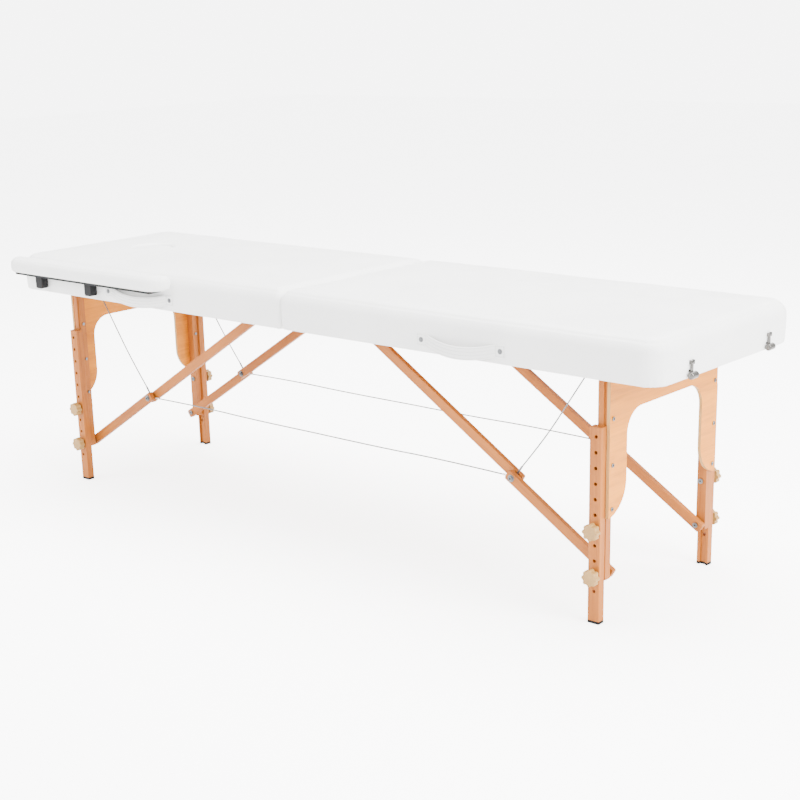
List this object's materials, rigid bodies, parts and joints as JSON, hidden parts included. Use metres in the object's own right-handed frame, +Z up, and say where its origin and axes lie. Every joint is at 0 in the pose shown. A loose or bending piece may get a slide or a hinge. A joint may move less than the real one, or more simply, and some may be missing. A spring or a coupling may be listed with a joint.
{
  "type": "portable massage table",
  "caption": "Folding padded treatment table: two-section top on wooden arched legs with cable bracing, height-adjustable feet, side armrest and face-hole plug.",
  "frame": {"origin": "on the floor under the middle of the table", "axes": "+X towards the foot end, -Y towards the side with the carry handles, +Z up"},
  "size_m": [1.9714, 0.5748, 0.603],
  "materials": {
    "vinyl": "soft satin white vinyl",
    "foam": "open foam",
    "beech": "clear lacquered beech",
    "plywood": "clear lacquered plywood",
    "steel": "zinc plated",
    "cable_steel": "twisted wire",
    "knob_plastic": "cream moulded plastic",
    "black_rubber": "matt",
    "nickel": "nickel plated",
    "support_plastic": "dark moulded plastic"
  },
  "bodies": {
    "head_section": {"head_cover": "vinyl", "head_foam": "foam", "head_deck": "plywood", "head_frame_rails": "beech", "head_pivot_blocks": "beech", "head_section_fittings": "steel", "head_hinge_leaves": "steel", "head_handle": "vinyl", "head_short_cables": "cable_steel", "latch_catches": "nickel", "fold_pins": "steel"},
    "head_legs": {"head_posts": "beech", "head_arch_panel": "plywood", "head_leg_bolts": "steel"},
    "head_upper_braces": {"head_upper_struts": "beech", "head_elbow_bolts_inner": "steel"},
    "head_lower_braces": {"head_lower_struts": "beech", "head_elbow_bolts_outer": "steel"},
    "head_cables": {"head_long_cable_ends": "steel", "head_long_cables": "cable_steel"},
    "head_near_leg": {"head_near_extension": "beech", "head_near_rubber_foot": "black_rubber"},
    "head_near_lower_knob_body": {"head_near_lower_knob": "knob_plastic"},
    "head_near_upper_knob_body": {"head_near_upper_knob": "knob_plastic"},
    "head_far_leg": {"head_far_extension": "beech", "head_far_rubber_foot": "black_rubber"},
    "head_far_lower_knob_body": {"head_far_lower_knob": "knob_plastic"},
    "head_far_upper_knob_body": {"head_far_upper_knob": "knob_plastic"},
    "foot_section": {"foot_cover": "vinyl", "foot_foam": "foam", "foot_deck": "plywood", "foot_frame_rails": "beech", "foot_pivot_blocks": "beech", "foot_section_fittings": "steel", "foot_hinge_leaves": "steel", "foot_handle": "vinyl", "foot_short_cables": "cable_steel", "latch_bases": "nickel"},
    "foot_legs": {"foot_posts": "beech", "foot_arch_panel": "plywood", "foot_leg_bolts": "steel"},
    "foot_upper_braces": {"foot_upper_struts": "beech", "foot_elbow_bolts_inner": "steel"},
    "foot_lower_braces": {"foot_lower_struts": "beech", "foot_elbow_bolts_outer": "steel"},
    "foot_cables": {"foot_long_cable_ends": "steel", "foot_long_cables": "cable_steel"},
    "foot_near_leg": {"foot_near_extension": "beech", "foot_near_rubber_foot": "black_rubber"},
    "foot_near_lower_knob_body": {"foot_near_lower_knob": "knob_plastic"},
    "foot_near_upper_knob_body": {"foot_near_upper_knob": "knob_plastic"},
    "foot_far_leg": {"foot_far_extension": "beech", "foot_far_rubber_foot": "black_rubber"},
    "foot_far_lower_knob_body": {"foot_far_lower_knob": "knob_plastic"},
    "foot_far_upper_knob_body": {"foot_far_upper_knob": "knob_plastic"},
    "face_plug_body": {"face_hole_plug": "vinyl"},
    "armrest_body": {"armrest_pad": "vinyl", "armrest_frame": "support_plastic"},
    "near_latch_body": {"near_latch_lever": "nickel"},
    "far_latch_body": {"far_latch_lever": "nickel"}
  },
  "joints": [
    {"name": "center_fold", "type": "hinge", "parent": "head_section", "child": "foot_section", "pos_m": [0, 0, 0.511], "axis": [0, 1, 0], "range_deg": [0, 139], "deforming": ["head_short_cables", "head_long_cables", "foot_short_cables", "foot_long_cables"]},
    {"name": "head_legs_fold", "type": "hinge", "parent": "head_section", "child": "head_legs", "pos_m": [-0.818, 0, 0.5355], "axis": [0, 1, 0], "range_deg": [-80, 0]},
    {"name": "head_upper_brace_fold", "type": "hinge", "parent": "head_section", "child": "head_upper_braces", "pos_m": [-0.133, 0, 0.5355], "axis": [0, 1, 0], "range_deg": [0, 30.81]},
    {"name": "head_lower_brace_fold", "type": "hinge", "parent": "head_legs", "child": "head_lower_braces", "pos_m": [-0.818, 0, 0.102], "axis": [0, 1, 0], "range_deg": [-55.03, 0]},
    {"name": "head_cable_fold", "type": "hinge", "parent": "head_upper_braces", "child": "head_cables", "pos_m": [-0.58176, 0, 0.2515], "axis": [0, 1, 0], "range_deg": [-26.7, 0]},
    {"name": "head_near_leg_slide", "type": "slide", "parent": "head_legs", "child": "head_near_leg", "axis": [0, 0, 1], "range_m": [-0.16, 0.032]},
    {"name": "head_near_lower_knob_turn", "type": "hinge", "parent": "head_legs", "child": "head_near_lower_knob_body", "pos_m": [-0.818, -0.23, 0.102], "axis": [0, 1, 0], "continuous": true},
    {"name": "head_near_upper_knob_turn", "type": "hinge", "parent": "head_legs", "child": "head_near_upper_knob_body", "pos_m": [-0.818, -0.23, 0.198], "axis": [0, 1, 0], "continuous": true},
    {"name": "head_far_leg_slide", "type": "slide", "parent": "head_legs", "child": "head_far_leg", "axis": [0, 0, 1], "range_m": [-0.16, 0.032]},
    {"name": "head_far_lower_knob_turn", "type": "hinge", "parent": "head_legs", "child": "head_far_lower_knob_body", "pos_m": [-0.818, 0.23, 0.102], "axis": [0, 1, 0], "continuous": true},
    {"name": "head_far_upper_knob_turn", "type": "hinge", "parent": "head_legs", "child": "head_far_upper_knob_body", "pos_m": [-0.818, 0.23, 0.198], "axis": [0, 1, 0], "continuous": true},
    {"name": "foot_legs_fold", "type": "hinge", "parent": "foot_section", "child": "foot_legs", "pos_m": [0.818, 0, 0.5355], "axis": [0, 1, 0], "range_deg": [0, 80]},
    {"name": "foot_upper_brace_fold", "type": "hinge", "parent": "foot_section", "child": "foot_upper_braces", "pos_m": [0.133, 0, 0.5355], "axis": [0, 1, 0], "range_deg": [-30.81, 0]},
    {"name": "foot_lower_brace_fold", "type": "hinge", "parent": "foot_legs", "child": "foot_lower_braces", "pos_m": [0.818, 0, 0.102], "axis": [0, 1, 0], "range_deg": [0, 55.03]},
    {"name": "foot_cable_fold", "type": "hinge", "parent": "foot_upper_braces", "child": "foot_cables", "pos_m": [0.58176, 0, 0.2515], "axis": [0, 1, 0], "range_deg": [0, 26.7]},
    {"name": "foot_near_leg_slide", "type": "slide", "parent": "foot_legs", "child": "foot_near_leg", "axis": [0, 0, 1], "range_m": [-0.16, 0.032]},
    {"name": "foot_near_lower_knob_turn", "type": "hinge", "parent": "foot_legs", "child": "foot_near_lower_knob_body", "pos_m": [0.818, -0.23, 0.102], "axis": [0, 1, 0], "continuous": true},
    {"name": "foot_near_upper_knob_turn", "type": "hinge", "parent": "foot_legs", "child": "foot_near_upper_knob_body", "pos_m": [0.818, -0.23, 0.198], "axis": [0, 1, 0], "continuous": true},
    {"name": "foot_far_leg_slide", "type": "slide", "parent": "foot_legs", "child": "foot_far_leg", "axis": [0, 0, 1], "range_m": [-0.16, 0.032]},
    {"name": "foot_far_lower_knob_turn", "type": "hinge", "parent": "foot_legs", "child": "foot_far_lower_knob_body", "pos_m": [0.818, 0.23, 0.102], "axis": [0, 1, 0], "continuous": true},
    {"name": "foot_far_upper_knob_turn", "type": "hinge", "parent": "foot_legs", "child": "foot_far_upper_knob_body", "pos_m": [0.818, 0.23, 0.198], "axis": [0, 1, 0], "continuous": true},
    {"name": "armrest_slide", "type": "slide", "parent": "head_section", "child": "armrest_body", "axis": [0, -1, 0], "range_m": [0, 0.05]},
    {"name": "face_plug_lift", "type": "slide", "parent": "head_section", "child": "face_plug_body", "axis": [0, 0, 1], "range_m": [0, 0.12]},
    {"name": "near_latch_swing", "type": "hinge", "parent": "foot_section", "child": "near_latch_body", "pos_m": [0.9807, -0.15, 0.546], "axis": [0, 1, 0], "range_deg": [-75, 0]},
    {"name": "far_latch_swing", "type": "hinge", "parent": "foot_section", "child": "far_latch_body", "pos_m": [0.9807, 0.15, 0.546], "axis": [0, 1, 0], "range_deg": [-75, 0]}
  ],
  "couplings": [
    {"joint": "head_legs_fold", "follows": "center_fold", "ratio": -0.57554},
    {"joint": "head_upper_brace_fold", "follows": "center_fold", "ratio": 0.22162},
    {"joint": "head_lower_brace_fold", "follows": "center_fold", "ratio": -0.39593},
    {"joint": "head_cable_fold", "follows": "center_fold", "ratio": -0.19208},
    {"joint": "foot_legs_fold", "follows": "center_fold", "ratio": 0.57554},
    {"joint": "foot_upper_brace_fold", "follows": "center_fold", "ratio": -0.22162},
    {"joint": "foot_lower_brace_fold", "follows": "center_fold", "ratio": 0.39593},
    {"joint": "foot_cable_fold", "follows": "center_fold", "ratio": 0.19208}
  ]
}
